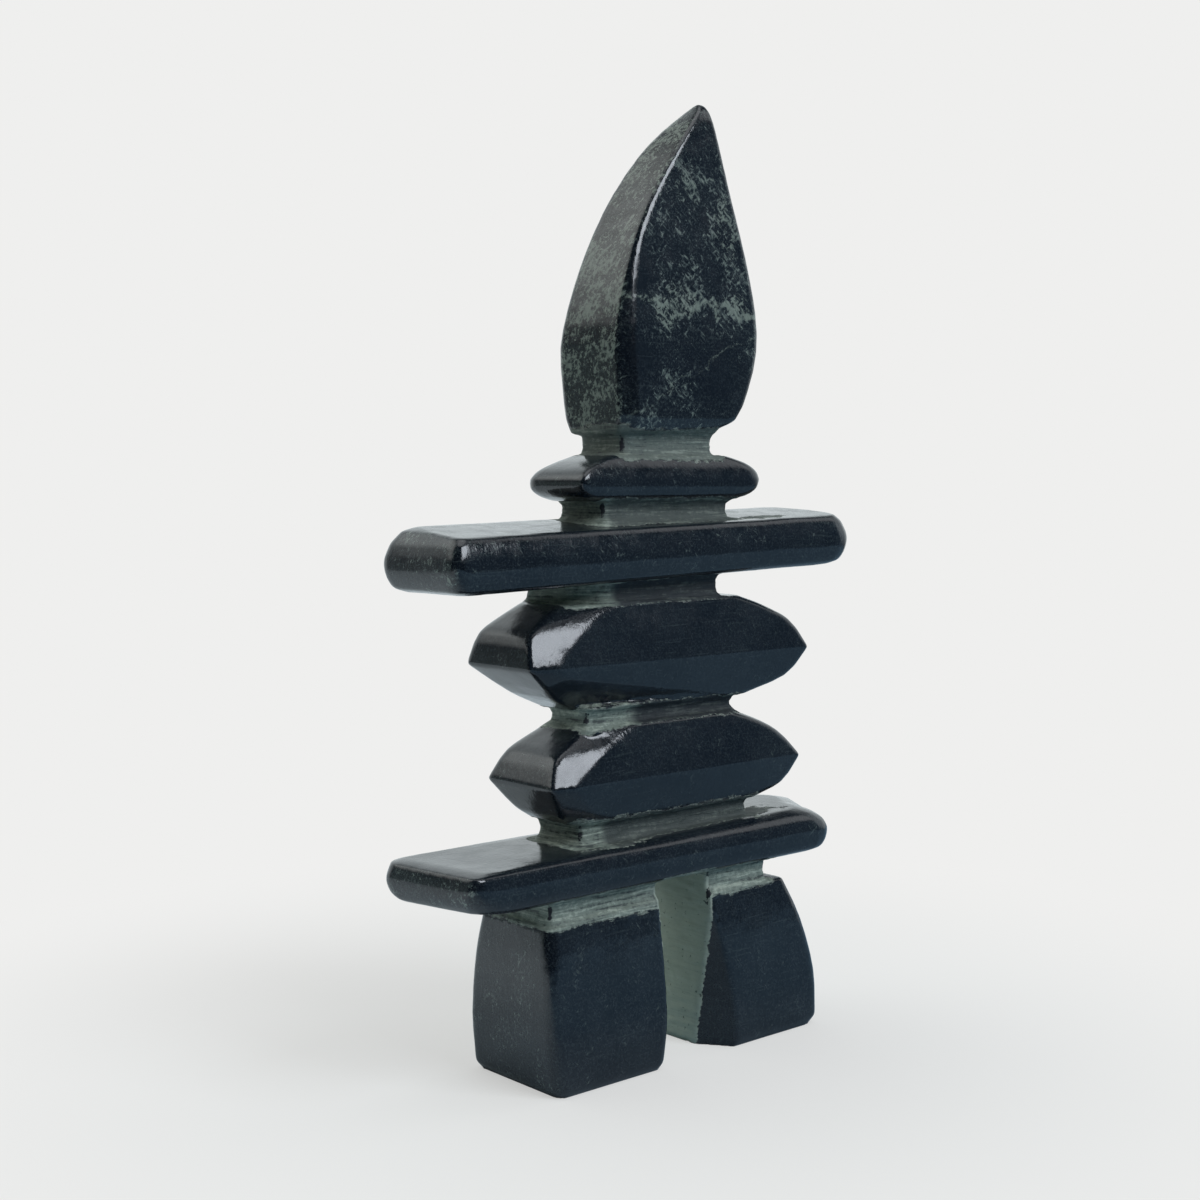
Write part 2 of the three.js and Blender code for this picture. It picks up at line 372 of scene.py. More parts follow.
raspSettings = {
    "reach": 2.4,           # how far the rasp strays from a waist on to the stones
    "lip": 0.9,             # the ends of a waist that count as stone
    "slotHalves": (11, 12),  # half the slot's depth, left of slotMiddle and right of it
    "slotMiddle": 4,
    "slotEdge": 0.8,        # how much less far the rasp strays from the slot
    "slotTaper": 3,         # how much sooner it fades sideways there
    "spills": [             # where it strayed further: middle and reach of each patch
        ((29, -5, 47.6), (13, 6, 2)), ((-14, -9.5, 47.4), (12, 2.2, 1.2)), ((30, -7, 113), (11, 3, 1.6)),
        ((6, -8.4, 96.4), (13, 1.2, 0.8)), ((8, -8.2, 71.6), (13, 1.4, 1)),
        ((28, -6, 71.5), (7, 2.5, 1.5)),
    ],
}


def clamp(value):
    return max(0.0, min(1.0, value))


def boxGap(value, low, high):
    return max(low - value, value - high, 0)


def patchGap(place, middle, reach):
    # 0 in the middle of a patch and 1 at its edge
    return math.sqrt(sum(((n - m) / r) ** 2 for n, m, r in zip(place, middle, reach)))


def raspShare(place):
    # 1 in a waist or in the leg slot, falling to 0 on the polish
    x, y, z = place
    gaps = []
    for sizes in waistSizes:
        outX = boxGap(x, sizes["left"] - sizes["slant"] / 2, sizes["right"])
        outY = max(abs(y) - sizes["depth"] / 2, 0)
        outZ = boxGap(z, sizes["foot"] + raspSettings["lip"], sizes["top"] - raspSettings["lip"])
        outZ *= raspSettings["reach"] / sizes.get("reach", raspSettings["reach"])
        gaps.append(math.sqrt(outX ** 2 + outY ** 2 + outZ ** 2))
    if z < slotSizes["top"] + 1:
        outX = boxGap(x, *slotSpan) * raspSettings["slotTaper"]
        outY = max(abs(y) - raspSettings["slotHalves"][x >= raspSettings["slotMiddle"]], 0)
        gaps.append(raspSettings["slotEdge"] + math.sqrt(outX ** 2 + outY ** 2))
    share = 1.5 - min(gaps) / raspSettings["reach"]
    for middle, reach in raspSettings["spills"]:
        share = max(share, 0.85 * (1.15 - patchGap(place, middle, reach)))
    return clamp(share)


reliefSettings = {  # lump size, depth, how far it is drawn out along x, y and z, and where
    "rubbed waves": (11, 0.16, (1, 1, 1), ""),
    "file strokes": (0.9, 0.62, (9, 9, 1), "rasped"),
    "torn crumbs": (1.1, 0.4, (1.6, 1.6, 1), "rasped"),
}
reliefMiddle = (3, 0, 0)
reliefStart = 0.45  # the rasp share where the strokes and crumbs begin, and how fast they deepen
reliefGain = 2.4


def addRelief(label, lump, depth, drawn, group):
    # a noise as deep as depth; an empty draws it out along the strokes
    selectNothing()
    bpy.ops.object.empty_add(location=[n * mm for n in reliefMiddle])
    stretcher = bpy.context.object
    stretcher.scale = drawn
    bpy.context.view_layer.update()
    noise = bpy.data.textures.new(label, "CLOUDS")
    noise.noise_scale = lump * mm
    noise.noise_depth = 2
    applyModifier(carving, "DISPLACE", label, texture=noise, texture_coords="OBJECT",
                  texture_coords_object=stretcher, strength=depth * mm, mid_level=0.5, vertex_group=group)
    removePiece(stretcher)


raspGroup = carving.vertex_groups.new(name="rasped")
for vertex in carving.data.vertices:
    share = raspShare(vertex.co / mm)
    if share > reliefStart:
        raspGroup.add([vertex.index], min(1.0, (share - reliefStart) * reliefGain), "REPLACE")
for label, values in reliefSettings.items():
    addRelief(label, *values)
carving.vertex_groups.clear()
applyModifier(carving, "DECIMATE", "thin", decimate_type="COLLAPSE", ratio=meshSettings["kept"])
footTop = meshSettings["footBand"] * mm
editMode(carving)
selectParts(carving, "verts", lambda v: v.co.z < footTop and v.normal.z < -0.7)
bpy.ops.transform.resize(value=(1, 1, 0), center_override=(0, 0, 0))  # both feet stand flat
leaveEditMode()
for face in carving.data.polygons:
    face.use_smooth = True
print("stage: relief cut,", len(carving.data.polygons), "faces")

darkeningSettings = {
    "side": 0.06,       # how dark the sides of the waists are
    "margin": 2,        # how far the darkening runs on to the stones
    "facing": 0.45,     # a front or back faces at least this much along y
    "upwards": 0.6,     # and a top this much along z
}


def darkeningShare(place, normal):
    # the fronts, backs and tops of the waists darken towards the right, and their sides evenly;
    # at the sides of the waist under the head stone this is painted shadow
    margin = darkeningSettings["margin"]
    for sizes in waistSizes:
        if sizes["foot"] - margin < place[2] < sizes["top"] + margin:
            start, full, amount = sizes["darkening"]
            side = sizes.get("side", darkeningSettings["side"])
            if abs(normal.y) > darkeningSettings["facing"] or normal.z > darkeningSettings["upwards"]:
                return max(side, amount * clamp((place[0] - start) / (full - start)))
            return side
    return 0.0


slotStrokes = 0.15


def strokeShare(place):
    # the leg slot was sawn smooth, the waists were filed in strokes
    inSlot = place[2] < slotSizes["top"] - 1 and boxGap(place[0], *slotSpan) < 1
    return slotStrokes if inSlot else 1.0


# a dark crack runs down a corner of each waist, and one down the slot's right edge
crackSettings = {"reach": 1.3, "inset": (0.4, 0.5), "past": 0.6}
insetX, insetY = crackSettings["inset"]
cracks = [  # place along x and y, foot and top
    (sizes.get("crack", sizes["left"] + insetX), insetY - sizes["depth"] / 2,
     sizes["foot"] - crackSettings["past"], sizes["top"] + crackSettings["past"])
    for sizes in waistSizes
]
cracks.append((slotSizes["right"] + 0.2, -10.2, 31, 39.6))


def crackShare(place):
    x, y, z = place
    share = 0.0
    for crackX, crackY, foot, top in cracks:
        if foot < z < top:
            share = max(share, 1 - math.hypot(x - crackX, y - crackY) / crackSettings["reach"])
    return share


# the left ends carry more flecks than the faces, and the head's paler ones: painted light on what faces left
fleckAndLightShares = [  # up to this height, the share of flecks on the faces, and on the left end
    (36, 0.34, 0.7), (49, 0.36, 0.9), (74, 0.3, 0.6), (98, 0.26, 0.5), (115, 0.45, 0.9), (128, 0.4, 0.6),
    (201, 1.1, 1.6),
]
fleckPatches = [  # middle, reach and change of the share
    ((-7, -8, 165), (6, 5, 9), -0.75), ((-8, -9, 152), (7, 5, 9), -0.6), ((-7, -9, 142), (6, 5, 8), -0.7),
    ((13, -9, 146), (10, 5, 9), -0.7), ((16, -9, 138), (8, 5, 6), -0.4), ((14, -6, 163), (7, 5, 5), -0.4),
    ((4, -8, 157), (9, 5, 4), 0.5), ((21, -8, 158), (6, 5, 3), 0.5), ((-3, -9, 152), (5, 5, 5), 0.6),
    ((-2, -9, 140), (5, 5, 3), 0.4), ((8, -6, 180), (6, 5, 8), 0.3), ((19, -6, 173), (4, 5, 9), 0.4),
]
hipTop = 49  # below it, what faces left on the right side takes the share of the faces


def fleckAndLightShare(place, normal):
    share = 0.0
    for height, faces, leftEndLight in fleckAndLightShares:
        if place[2] < height:
            # a face turned left takes the left end's share, which is partly painted light
            onLeftEnd = normal.x < -0.6 and (place[0] < 5 or height > hipTop)
            share = leftEndLight if onLeftEnd else faces
            break
    if normal.y < -0.3:
        for middle, reach, change in fleckPatches:
            share += change * clamp(1.6 - 1.2 * patchGap(place, middle, reach))
    return max(0.0, share)


def paintLayer(name, values):
    layer = carving.data.attributes.new(name, "FLOAT", "POINT")
    layer.data.foreach_set("value", values)


spots = [(v.co / mm, v.normal) for v in carving.data.vertices]
paintLayer("rasped", [raspShare(place) for place, normal in spots])
paintLayer("darkened", [darkeningShare(place, normal) for place, normal in spots])
paintLayer("stroked", [strokeShare(place) for place, normal in spots])
paintLayer("cracked", [crackShare(place) for place, normal in spots])
paintLayer("fleckedAndLit", [fleckAndLightShare(place, normal) for place, normal in spots])
print("stage: rasp, stain and flecks laid out")


def feed(tree, socket, value):
    # a link from another node, or a plain value
    if isinstance(value, bpy.types.NodeSocket):
        tree.links.new(value, socket)
    else:
        socket.default_value = value


def addNode(tree, kind, place, **values):
    # each value goes to the input of that name, or else to the node itself
    node = tree.nodes.new(kind)
    node.location = place
    for key, value in values.items():
        socket = node.inputs.get(key)
        if socket is None:
            setattr(node, key, value)
        else:
            feed(tree, socket, value)
    return node


def addMath(tree, operation, a, b, place):
    node = addNode(tree, "ShaderNodeMath", place, operation=operation)
    feed(tree, node.inputs[0], a)
    feed(tree, node.inputs[1], b)
    return node.outputs[0]


def addBand(tree, value, low, high, place, start=0.0, end=1.0):
    # start below low, end above high, and a soft step between
    node = addNode(tree, "ShaderNodeMapRange", place, interpolation_type="SMOOTHSTEP", Value=value)
    node.inputs["From Min"].default_value = low
    node.inputs["From Max"].default_value = high
    node.inputs["To Min"].default_value = start
    node.inputs["To Max"].default_value = end
    return node.outputs[0]


def addBlend(tree, share, a, b, place):
    # colour a where the share is 0 and b where it is 1
    node = addNode(tree, "ShaderNodeMix", place, data_type="RGBA")
    for index, value in ((0, share), (6, a), (7, b)):
        feed(tree, node.inputs[index], value)
    return node.outputs[2]


def addShaderBlend(tree, share, a, b, place):
    node = addNode(tree, "ShaderNodeMixShader", place)
    for socket, value in zip(node.inputs, (share, a, b)):
        tree.links.new(value, socket)
    return node.outputs[0]


def addGrain(tree, place, scale, stretch=(1, 1, 1), detail=3.0, roughness=0.6, offset=0.0):
    # noise with scale lumps to the metre, closer together along an axis by its stretch
    where = addNode(tree, "ShaderNodeTexCoord", (place[0] - 400, place[1]))
    turned = addNode(tree, "ShaderNodeMapping", (place[0] - 200, place[1]), Vector=where.outputs["Object"])
    turned.inputs["Scale"].default_value = [scale * n for n in stretch]
    turned.inputs["Location"].default_value = (offset, offset * 0.7, offset * 0.3)
    noise = addNode(tree, "ShaderNodeTexNoise", place, Vector=turned.outputs[0], Scale=1.0,
                    Detail=detail, Roughness=roughness)
    return noise.outputs["Fac"]


def addSplinters(tree, place, scale, turn, offset):
    # noise drawn out threefold along one direction
    where = addNode(tree, "ShaderNodeTexCoord", (place[0] - 400, place[1]))
    turned = addNode(tree, "ShaderNodeMapping", (place[0] - 200, place[1]), vector_type="TEXTURE",
                     Vector=where.outputs["Object"], Rotation=turn)
    turned.inputs["Scale"].default_value = [1 / (scale * n) for n in (1, 1, 0.34)]
    turned.inputs["Location"].default_value = (offset, 0, 0)
    noise = addNode(tree, "ShaderNodeTexNoise", place, Vector=turned.outputs[0], Scale=1.0,
                    Detail=4.0, Roughness=0.68)
    return noise.outputs["Fac"]


stoneFinish = {
    "polish": (0.0022, 0.0045, 0.0085, 1),      # blue black
    "cloud": (0.014, 0.019, 0.0235, 1),
    "fleck": (0.075, 0.095, 0.09, 1),           # grey green
    "fleckPale": (0.2, 0.235, 0.195, 1),
    "rasped": (0.195, 0.235, 0.195, 1),
    "raspedPale": (0.4, 0.455, 0.375, 1),
    "raspedDark": (0.012, 0.018, 0.021, 1),
    "polishRoughness": (0.1, 0.24),
    "fleckDull": 0.1,                           # how much rougher the flecks are
    "raspedRoughness": 0.68,
    "refraction": 1.56,
    "veins": [  # direction across the vein, place in mm, half width in mm, how pale
        ((0.04, 0.27, 1), 154.6, 1.2, 1.0),
        ((-0.5, 0.05, 1), 138.6, 0.6, 0.5),
    ],
    "veinWander": 14,                           # mm
    "waveDepth": 0.22,                          # mm, hand-rubbed waves
    "hairlineDepth": 0.12,
    "strokeDepth": 0.6,
}
grainSizes = {  # lumps to the metre
    "clouds": 70, "drifts": 150, "specks": 2200, "splinters": (1150, 1350), "broken": 620, "wander": 150,
    "scuffs": 2400, "handled": 60, "ragged": 500, "strokes": 1500, "crumbs": 900, "smears": 220,
    "waves": 160, "hairlines": 1600,
}


def raspBorder(tree, rasped):
    # ragged, mostly along the strokes, with a lip of stone dust on its polished side
    ragged = addGrain(tree, (-1000, 900), grainSizes["ragged"], (0.5, 0.5, 1.6), detail=5, roughness=0.7)
    ragged = addBand(tree, ragged, 0.25, 0.75, (-800, 900), -0.26, 0.26)
    border = addMath(tree, "ADD", rasped, ragged, (-600, 900))
    raspMask = addBand(tree, border, 0.46, 0.56, (-400, 900))
    lipMask = addMath(tree, "MULTIPLY", addBand(tree, border, 0.36, 0.47, (-400, 1100)),
                      addBand(tree, border, 0.5, 0.62, (-400, 1300), 1.0, 0.0), (-200, 1100))
    return raspMask, lipMask


def veinMasks(tree):
    # a vein is a wandering line of broken streaks, faint on the left end, that flecks crowd round
    where = addNode(tree, "ShaderNodeTexCoord", (-1400, -800)).outputs["Object"]
    sides = addNode(tree, "ShaderNodeSeparateXYZ", (-1200, -700), Vector=where)
    onFront = addBand(tree, sides.outputs["X"], -11.2 * mm, -8.5 * mm, (-1000, -700), 0.3, 1.0)
    broken = addGrain(tree, (-1000, -800), grainSizes["broken"], detail=5, roughness=0.75, offset=17)
    wander = addGrain(tree, (-1000, -1000), grainSizes["wander"], detail=5, roughness=0.65, offset=23)
    swing = stoneFinish["veinWander"] * mm
    lines = []
    crowds = []
    for i, (across, offset, halfWidth, pale) in enumerate(stoneFinish["veins"]):
        row = -900 - 300 * i
        high = addNode(tree, "ShaderNodeVectorMath", (-800, row), operation="DOT_PRODUCT", Vector=where)
        high.inputs[1].default_value = across
        bent = addMath(tree, "MULTIPLY_ADD", wander, swing, (-600, row - 100))
        bent.node.inputs[2].default_value = -swing / 2 - offset * mm
        away = addMath(tree, "ADD", high.outputs["Value"], bent, (-400, row))
        away = addMath(tree, "ABSOLUTE", away, 0, (-200, row))
        streak = addBand(tree, broken, 0.44, 0.6, (0, row - 100), 0.0, pale)
        streak = addMath(tree, "MULTIPLY", streak, onFront, (100, row - 100))
        line = addBand(tree, away, 0.1 * halfWidth * mm, halfWidth * mm, (0, row), 1.0, 0.0)
        lines.append(addMath(tree, "MULTIPLY", line, streak, (200, row)))
        near, far = 0.5 * halfWidth * mm, 2.2 * halfWidth * mm
        crowd = addBand(tree, away, near, far, (0, row - 200), 0.06 * pale, 0.0)
        crowds.append(addMath(tree, "MULTIPLY", crowd, onFront, (100, row - 200)))
    return lines, crowds


def fleckMasks(tree, fleckedAndLit, crowds):
    # splinters of paler mineral, in drifts, crowding closer on the left ends and paler on the head's, as
    # painted light
    drifts = addGrain(tree, (-1000, 100), grainSizes["drifts"], detail=4, offset=3)
    steep, level = grainSizes["splinters"]
    splinters = addMath(tree, "MAXIMUM", addSplinters(tree, (-1000, -100), steep, (0.5, 0.7, 0.2), 0.3),
                        addSplinters(tree, (-1000, -300), level, (-0.6, -0.5, 0.9), 0.5), (-700, -100))
    drifts = addBand(tree, drifts, 0.36, 0.64, (-800, 100), -0.07, 0.05)
    crowded = addBand(tree, fleckedAndLit, 0.0, 2.0, (-800, 500), -0.045, 0.075)
    raised = addMath(tree, "ADD", splinters, drifts, (-500, 0))
    raised = addMath(tree, "ADD", raised, crowded, (-400, 0))
    for i, crowd in enumerate(crowds):
        raised = addMath(tree, "ADD", raised, crowd, (-300 + 100 * i, 0))
    fleckAndLightMask = addBand(tree, raised, 0.58, 0.68, (0, -100))
    fleckAndLightMask = addMath(tree, "MULTIPLY", fleckAndLightMask, addBand(tree, fleckedAndLit, 0.0, 0.9, (0, -200)), (200, -100))
    paleAndLitShare = addMath(tree, "MAXIMUM", addBand(tree, raised, 0.64, 0.76, (0, 500)),
                        addBand(tree, fleckedAndLit, 1.15, 1.6, (0, 700), 0.0, 0.85), (200, 500))
    fleckAndLightTone = addBlend(tree, paleAndLitShare, stoneFinish["fleck"], stoneFinish["fleckPale"], (400, 500))
    return fleckAndLightMask, fleckAndLightTone


def scuffMask(tree):
    # scuffs run level round the stone, where it was handled most
    scuffs = addGrain(tree, (-1000, -1900), grainSizes["scuffs"], (0.05, 0.05, 1), offset=53)
    handled = addGrain(tree, (-1000, -2100), grainSizes["handled"], offset=59)
    return addMath(tree, "MULTIPLY", addBand(tree, scuffs, 0.54, 0.74, (-800, -1900), 0.0, 0.24),
                   addBand(tree, handled, 0.35, 0.65, (-800, -2100), 0.25, 1.0), (-600, -1900))


def polishColour(tree, fleckedAndLit, fleckAndLightMask, fleckAndLightTone, lines):
    # near black, with clouds, grain, scuffs, flecks and a few pale veins
    clouds = addGrain(tree, (-1000, 300), grainSizes["clouds"], detail=4)
    specks = addGrain(tree, (-1000, -500), grainSizes["specks"], detail=2, offset=11)
    clouds = addBand(tree, clouds, 0.35, 0.7, (0, 300), 0.0, 0.5)
    grain = addBand(tree, specks, 0.36, 0.66, (-200, 500), 0.0, 0.6)
    cloudShare = addMath(tree, "ADD", clouds, grain, (100, 400))
    # specks crowd with the fleck share, so on the left ends they are partly painted light
    specks = addMath(tree, "MULTIPLY", addBand(tree, specks, 0.5, 0.72, (-400, -500)), fleckedAndLit, (-200, -500))
    specks = addMath(tree, "MULTIPLY", specks, 0.4, (200, -500))
    colour = addBlend(tree, cloudShare, stoneFinish["polish"], stoneFinish["cloud"], (200, 300))
    colour = addBlend(tree, specks, colour, stoneFinish["fleck"], (400, 300))
    colour = addBlend(tree, scuffMask(tree), colour, stoneFinish["fleck"], (500, 300))
    colour = addBlend(tree, fleckAndLightMask, colour, fleckAndLightTone, (600, 300))
    for i, line in enumerate(lines):
        colour = addBlend(tree, line, colour, stoneFinish["fleckPale"], (800 + 150 * i, 300))
    return colour


def fileMarks(tree):
    # level strokes, with crumbs torn out between them
    strokes = addGrain(tree, (-1000, 1500), grainSizes["strokes"], (0.06, 0.06, 1), detail=5, roughness=0.7,
                       offset=31)
    crumbs = addGrain(tree, (-1000, 1700), grainSizes["crumbs"], detail=5, roughness=0.7, offset=37)
    marks = addMath(tree, "ADD", addMath(tree, "MULTIPLY", strokes, 0.65, (-800, 1500)),
                    addMath(tree, "MULTIPLY", crumbs, 0.35, (-800, 1700)), (-600, 1600))
    return marks, crumbs


def raspedColour(tree, marks, crumbs, stroked, darkened, cracked):
    # grey green, streaked along the strokes and darker where the waists are darkened, at the sides of the
    # waist under the head stone as painted shadow
    paleStroke = addBand(tree, marks, 0.5, 0.6, (-400, 1500))
    paleStroke = addMath(tree, "MULTIPLY", paleStroke, stroked, (-300, 1500))
    sawn = addBand(tree, stroked, 0.2, 0.9, (-400, 1350), 0.85, 0.0)
    paleStroke = addMath(tree, "ADD", paleStroke, sawn, (-200, 1500))
    undarkened = addBand(tree, darkened, 0.2, 1.0, (-200, 1350), 1.0, 0.55)
    paleStroke = addMath(tree, "MULTIPLY", paleStroke, undarkened, (-100, 1400))
    colour = addBlend(tree, paleStroke, stoneFinish["rasped"], stoneFinish["raspedPale"], (0, 1500))

    darkeningMask = addBand(tree, marks, 0.5, 0.62, (-200, 1900), 1.0, 0.82)
    darkeningMask = addMath(tree, "MULTIPLY", darkened, darkeningMask, (0, 1800))
    darkStroke = addBand(tree, marks, 0.4, 0.48, (-400, 1700), 1.0, 0.0)
    darkStroke = addMath(tree, "MULTIPLY", darkStroke, stroked, (-200, 1700))
    darkStroke = addMath(tree, "MULTIPLY", darkStroke, 0.8, (0, 1700))
    darkMask = addMath(tree, "MAXIMUM", darkeningMask, darkStroke, (200, 1700))
    slotSpecks = addMath(tree, "MULTIPLY", addBand(tree, crumbs, 0.6, 0.68, (0, 1900), 0.0, 0.75),
                         addBand(tree, stroked, 0.2, 0.9, (0, 2000), 1.0, 0.0), (200, 1900))
    darkMask = addMath(tree, "MAXIMUM", darkMask, slotSpecks, (300, 1800))
    colour = addBlend(tree, darkMask, colour, stoneFinish["raspedDark"], (400, 1500))

    crackMask = addBand(tree, crumbs, 0.3, 0.7, (0, 2100), -0.25, 0.25)
    crackMask = addMath(tree, "ADD", cracked, crackMask, (200, 2000))
    crackMask = addBand(tree, crackMask, 0.62, 0.78, (400, 2000))
    return addBlend(tree, crackMask, colour, stoneFinish["polish"], (600, 1500))


def stoneRoughness(tree, raspMask, lipMask, fleckAndLightMask):
    # the polish is smeared, the flecks are less bright and the rasped stone is dull
    smears = addGrain(tree, (900, -300), grainSizes["smears"], detail=4, roughness=0.65, offset=41)
    gloss = addBand(tree, smears, 0.3, 0.75, (1100, -300), *stoneFinish["polishRoughness"])
    fleckDull = addMath(tree, "MULTIPLY", fleckAndLightMask, stoneFinish["fleckDull"], (1100, -450))
    gloss = addMath(tree, "ADD", gloss, fleckDull, (1300, -300))
    dullShare = addMath(tree, "MAXIMUM", raspMask, lipMask, (1300, -500))
    dull = addNode(tree, "ShaderNodeMix", (1500, -300), data_type="FLOAT")
    for index, value in ((0, dullShare), (2, gloss), (3, stoneFinish["raspedRoughness"])):
        feed(tree, dull.inputs[index], value)
    return dull.outputs[0]


def fineRelief(tree, marks, raspMask, stroked):
    # hand-rubbed waves and hairlines on the polish, file strokes in the waists
    waves = addGrain(tree, (900, -900), grainSizes["waves"], offset=43)
    hairlines = addGrain(tree, (900, -1100), grainSizes["hairlines"], (1, 1, 0.05), detail=2, offset=47)
    grooves = addMath(tree, "MULTIPLY", raspMask, stroked, (1100, -1300))
    grooves = addMath(tree, "MULTIPLY", marks, grooves, (1300, -1200))
    rubbed = addNode(tree, "ShaderNodeBump", (1300, -900), Strength=0.35,
                     Distance=stoneFinish["waveDepth"] * mm, Height=waves)
    scratched = addNode(tree, "ShaderNodeBump", (1500, -1000), Strength=0.3,
                        Distance=stoneFinish["hairlineDepth"] * mm, Height=hairlines,
                        Normal=rubbed.outputs[0])
    filed = addNode(tree, "ShaderNodeBump", (1700, -1000), Strength=0.9,
                    Distance=stoneFinish["strokeDepth"] * mm, Height=grooves, Normal=scratched.outputs[0])
    return filed.outputs[0]


def makeSoapstone():
    soapstone = bpy.data.materials.new("soapstone, part polished")
    soapstone.use_nodes = True
    tree = soapstone.node_tree
    tree.nodes.clear()
    layers = {}
    for i, name in enumerate(("stroked", "cracked", "rasped", "darkened", "fleckedAndLit")):
        layer = addNode(tree, "ShaderNodeAttribute", (-1600, 1500 - 200 * i), attribute_name=name)
        layers[name] = layer.outputs["Fac"]
    raspMask, lipMask = raspBorder(tree, layers["rasped"])
    veinLines, veinCrowds = veinMasks(tree)
    fleckAndLightMask, fleckAndLightTone = fleckMasks(tree, layers["fleckedAndLit"], veinCrowds)
    polished = polishColour(tree, layers["fleckedAndLit"], fleckAndLightMask, fleckAndLightTone, veinLines)
    marks, crumbs = fileMarks(tree)
    rasped = raspedColour(tree, marks, crumbs, layers["stroked"], layers["darkened"], layers["cracked"])
    colour = addBlend(tree, raspMask, polished, rasped, (1300, 300))
    chalky = addBand(tree, crumbs, 0.45, 0.6, (1200, 900), 0.0, 0.7)  # stone dust along the border
    chalky = addMath(tree, "MULTIPLY", lipMask, chalky, (1300, 900))
    colour = addBlend(tree, chalky, colour, stoneFinish["raspedPale"], (1500, 300))

    shader = addNode(tree, "ShaderNodeBsdfPrincipled", (1900, 0), IOR=stoneFinish["refraction"])
    feed(tree, shader.inputs["Base Color"], colour)
    feed(tree, shader.inputs["Roughness"], stoneRoughness(tree, raspMask, lipMask, fleckAndLightMask))
    feed(tree, shader.inputs["Normal"], fineRelief(tree, marks, raspMask, layers["stroked"]))
    output = addNode(tree, "ShaderNodeOutputMaterial", (2200, 0))
    tree.links.new(shader.outputs[0], output.inputs[0])
    return soapstone


carving.data.materials.clear()
carving.data.materials.append(makeSoapstone())
print("stage: stone finish made")

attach(carving, "root")
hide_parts("carved_cairn")

# The room, as the stone mirrors it: dark behind the tripod, pale behind and above. Each glow is
# a direction, the angles from it where it is full and where it has faded, its strength and colour.
roomLight = {
    "dim": (0.012, 0.015, 0.02, 1),
    "backdrop": (0.863, 0.863, 0.855, 1),
    "glows": [
        ("sweep behind", (0.38, 1, 0.14), 24, 64, 1.0, (0.9, 0.98, 1, 1)),
        ("left sweep", (-0.85, 0.6, -0.12), 8, 26, 0.3, (0.8, 1, 0.98, 1)),
        ("high left wall", (-0.6, 0.6, 0.85), 8, 34, 1.6, (0.96, 1, 0.98, 1)),
        ("right wall", (1, -0.05, 0.25), 6, 30, 0.8, (0.9, 0.97, 1, 1)),
        ("front right wall", (0.8, -0.6, 0.05), 10, 40, 0.11, (0.6, 0.95, 1.35, 1)),
        ("ceiling", (0.1, -0.1, 1), 8, 30, 1.6, (0.95, 0.97, 1, 1)),
        ("high window", (0.97, -0.3, 0.95), 6, 15, 0.9, (0.95, 0.97, 1, 1)),
    ],
}
tableSettings = {
    "radius": 550,
    "paper": (0.735, 0.735, 0.705, 1),
    "fade": (0.04, 0.2),                # metres from the middle, over which it turns into the backdrop
    "nearShade": (0.19, 0.29, 0.38, 1),  # as the stone mirrors it, in front and behind
    "farShade": (0.88, 0.95, 0.97, 1),
    "away": (-0.55, 0.83, 0),
    "turns": (-0.08, 0.13),             # metres along away, from the near shade to the far one
}


def makePaper():
    paper = bpy.data.materials.new("pale table paper")
    paper.use_nodes = True
    tree = paper.node_tree
    tree.nodes.clear()
    where = addNode(tree, "ShaderNodeTexCoord", (-700, 0)).outputs["Object"]
    behind = addNode(tree, "ShaderNodeVectorMath", (-500, 300), operation="DOT_PRODUCT", Vector=where)
    behind.inputs[1].default_value = tableSettings["away"]
    shade = addBand(tree, behind.outputs["Value"], *tableSettings["turns"], (-200, 300))
    shade = addBlend(tree, shade, tableSettings["nearShade"], tableSettings["farShade"], (100, 300))
    mirrored = addNode(tree, "ShaderNodeBsdfDiffuse", (500, 100), Color=shade)
    matt = addNode(tree, "ShaderNodeBsdfDiffuse", (200, -50), Color=tableSettings["paper"])
    backdrop = addNode(tree, "ShaderNodeEmission", (200, -200), Color=roomLight["backdrop"], Strength=1.0)
    outwards = addNode(tree, "ShaderNodeVectorMath", (-500, 0), operation="LENGTH", Vector=where)
    fade = addBand(tree, outwards.outputs["Value"], *tableSettings["fade"], (-200, 0), 0.55)
    plain = addShaderBlend(tree, fade, matt.outputs[0], backdrop.outputs[0], (500, -100))
    seen = addNode(tree, "ShaderNodeLightPath", (500, 300)).outputs["Is Camera Ray"]
    picked = addShaderBlend(tree, seen, mirrored.outputs[0], plain, (700, 0))
    output = addNode(tree, "ShaderNodeOutputMaterial", (900, 0))
    tree.links.new(picked, output.inputs[0])
    return paper


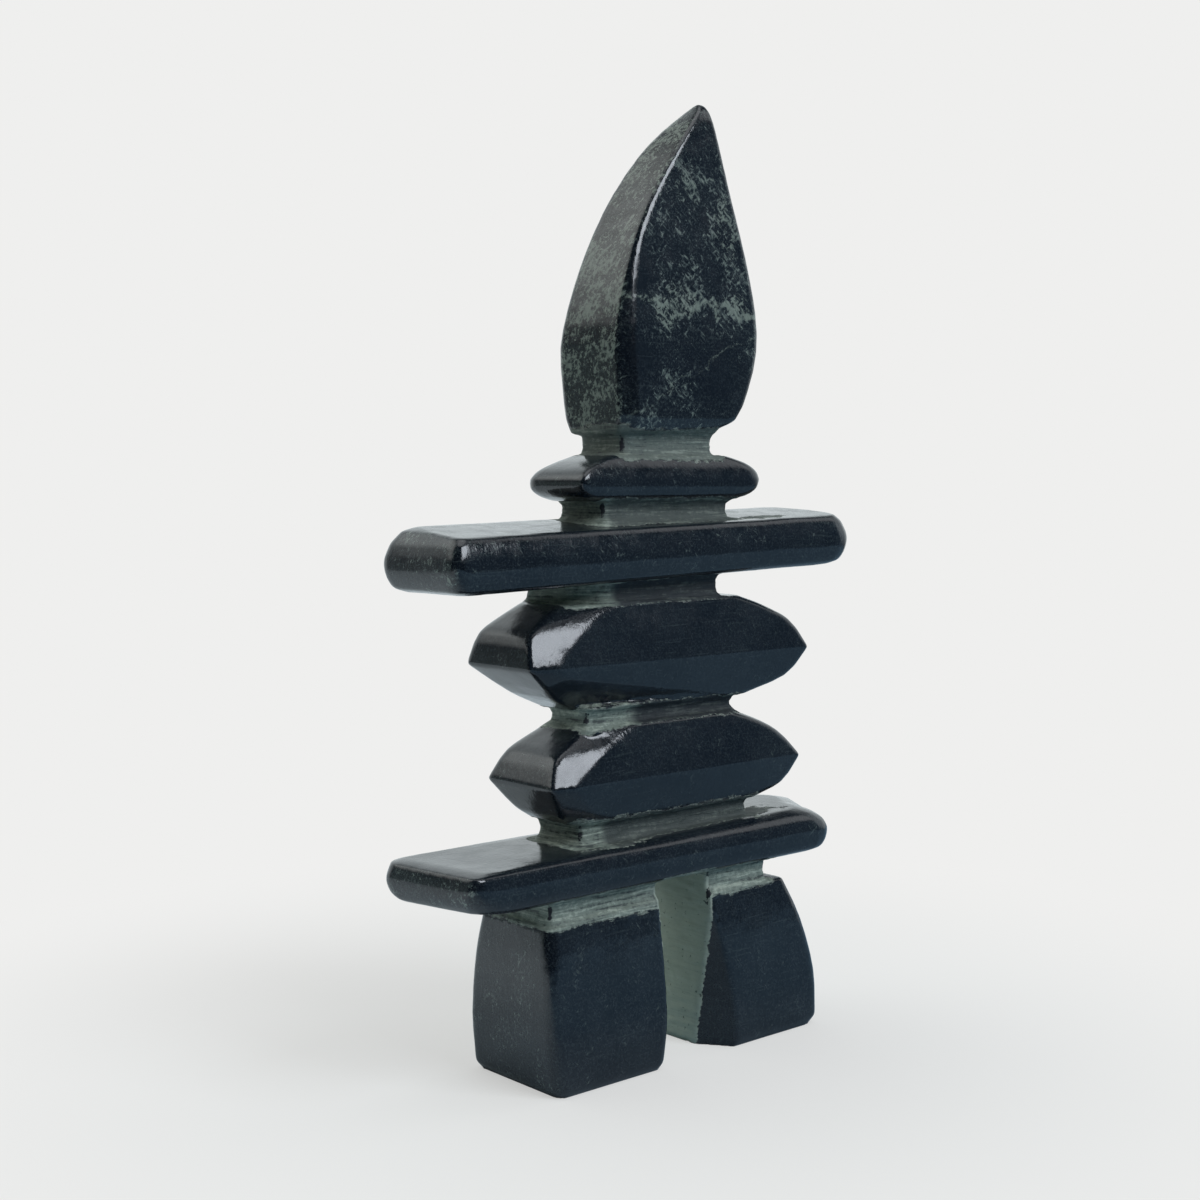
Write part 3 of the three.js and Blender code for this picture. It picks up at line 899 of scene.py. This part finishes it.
def lightRoom():
    room = bpy.data.worlds.new("studio room")
    bpy.context.scene.world = room
    room.use_nodes = True
    tree = room.node_tree
    tree.nodes.clear()
    where = addNode(tree, "ShaderNodeTexCoord", (-700, 0)).outputs["Generated"]
    total = addNode(tree, "ShaderNodeBackground", (0, 300), Color=roomLight["dim"], Strength=1.0)
    for i, (label, towards, full, faded, strength, colour) in enumerate(roomLight["glows"]):
        row = -200 * i
        facing = addNode(tree, "ShaderNodeVectorMath", (-500, row), operation="DOT_PRODUCT", label=label,
                         Vector=where)
        facing.inputs[1].default_value = Vector(towards).normalized()
        edges = [math.cos(math.radians(angle)) for angle in (faded, full)]
        level = addBand(tree, facing.outputs["Value"], *edges, (-300, row), 0.0, strength)
        glow = addNode(tree, "ShaderNodeBackground", (-100, row), Color=colour, Strength=level)
        both = addNode(tree, "ShaderNodeAddShader", (150 + 100 * i, row))
        tree.links.new(total.outputs[0], both.inputs[0])
        tree.links.new(glow.outputs[0], both.inputs[1])
        total = both
    backdrop = addNode(tree, "ShaderNodeBackground", (700, -200), Color=roomLight["backdrop"], Strength=1.0)
    seen = addNode(tree, "ShaderNodeLightPath", (700, 300)).outputs["Is Camera Ray"]
    picked = addShaderBlend(tree, seen, total.outputs[0], backdrop.outputs[0], (1000, 0))
    output = addNode(tree, "ShaderNodeOutputWorld", (1200, 0))
    tree.links.new(picked, output.inputs[0])


bpy.ops.object.select_all(action="DESELECT")
bpy.ops.mesh.primitive_circle_add(vertices=96, radius=tableSettings["radius"] * mm, fill_type="NGON",
                                  location=(0, 0, 0))
table = bpy.context.object
table.name = "pale table"
table.data.materials.append(makePaper())
lightRoom()
print("stage: table and room made")

# one softbox hangs over the tripod, a little to the right
softboxSettings = {"place": (0.33, -1.1, 1.0), "aim": (0, 0, 0.1), "width": 0.82, "height": 0.7,
                   "power": 15.5, "colour": (0.86, 0.92, 1)}
bpy.ops.object.select_all(action="DESELECT")
bpy.ops.object.light_add(type="AREA", location=softboxSettings["place"])
softbox = bpy.context.object
softbox.name = "softbox"
softbox.data.shape = "RECTANGLE"
softbox.data.size = softboxSettings["width"]
softbox.data.size_y = softboxSettings["height"]
softbox.data.energy = softboxSettings["power"]
softbox.data.color = softboxSettings["colour"]
lookDown = Vector(softboxSettings["aim"]) - Vector(softboxSettings["place"])
softbox.rotation_euler = lookDown.to_track_quat("-Z", "Y").to_euler()
softbox.visible_camera = False

view = bpy.context.scene.view_settings
view.view_transform = "Standard"
view.look = "None"
print("stage: light set")
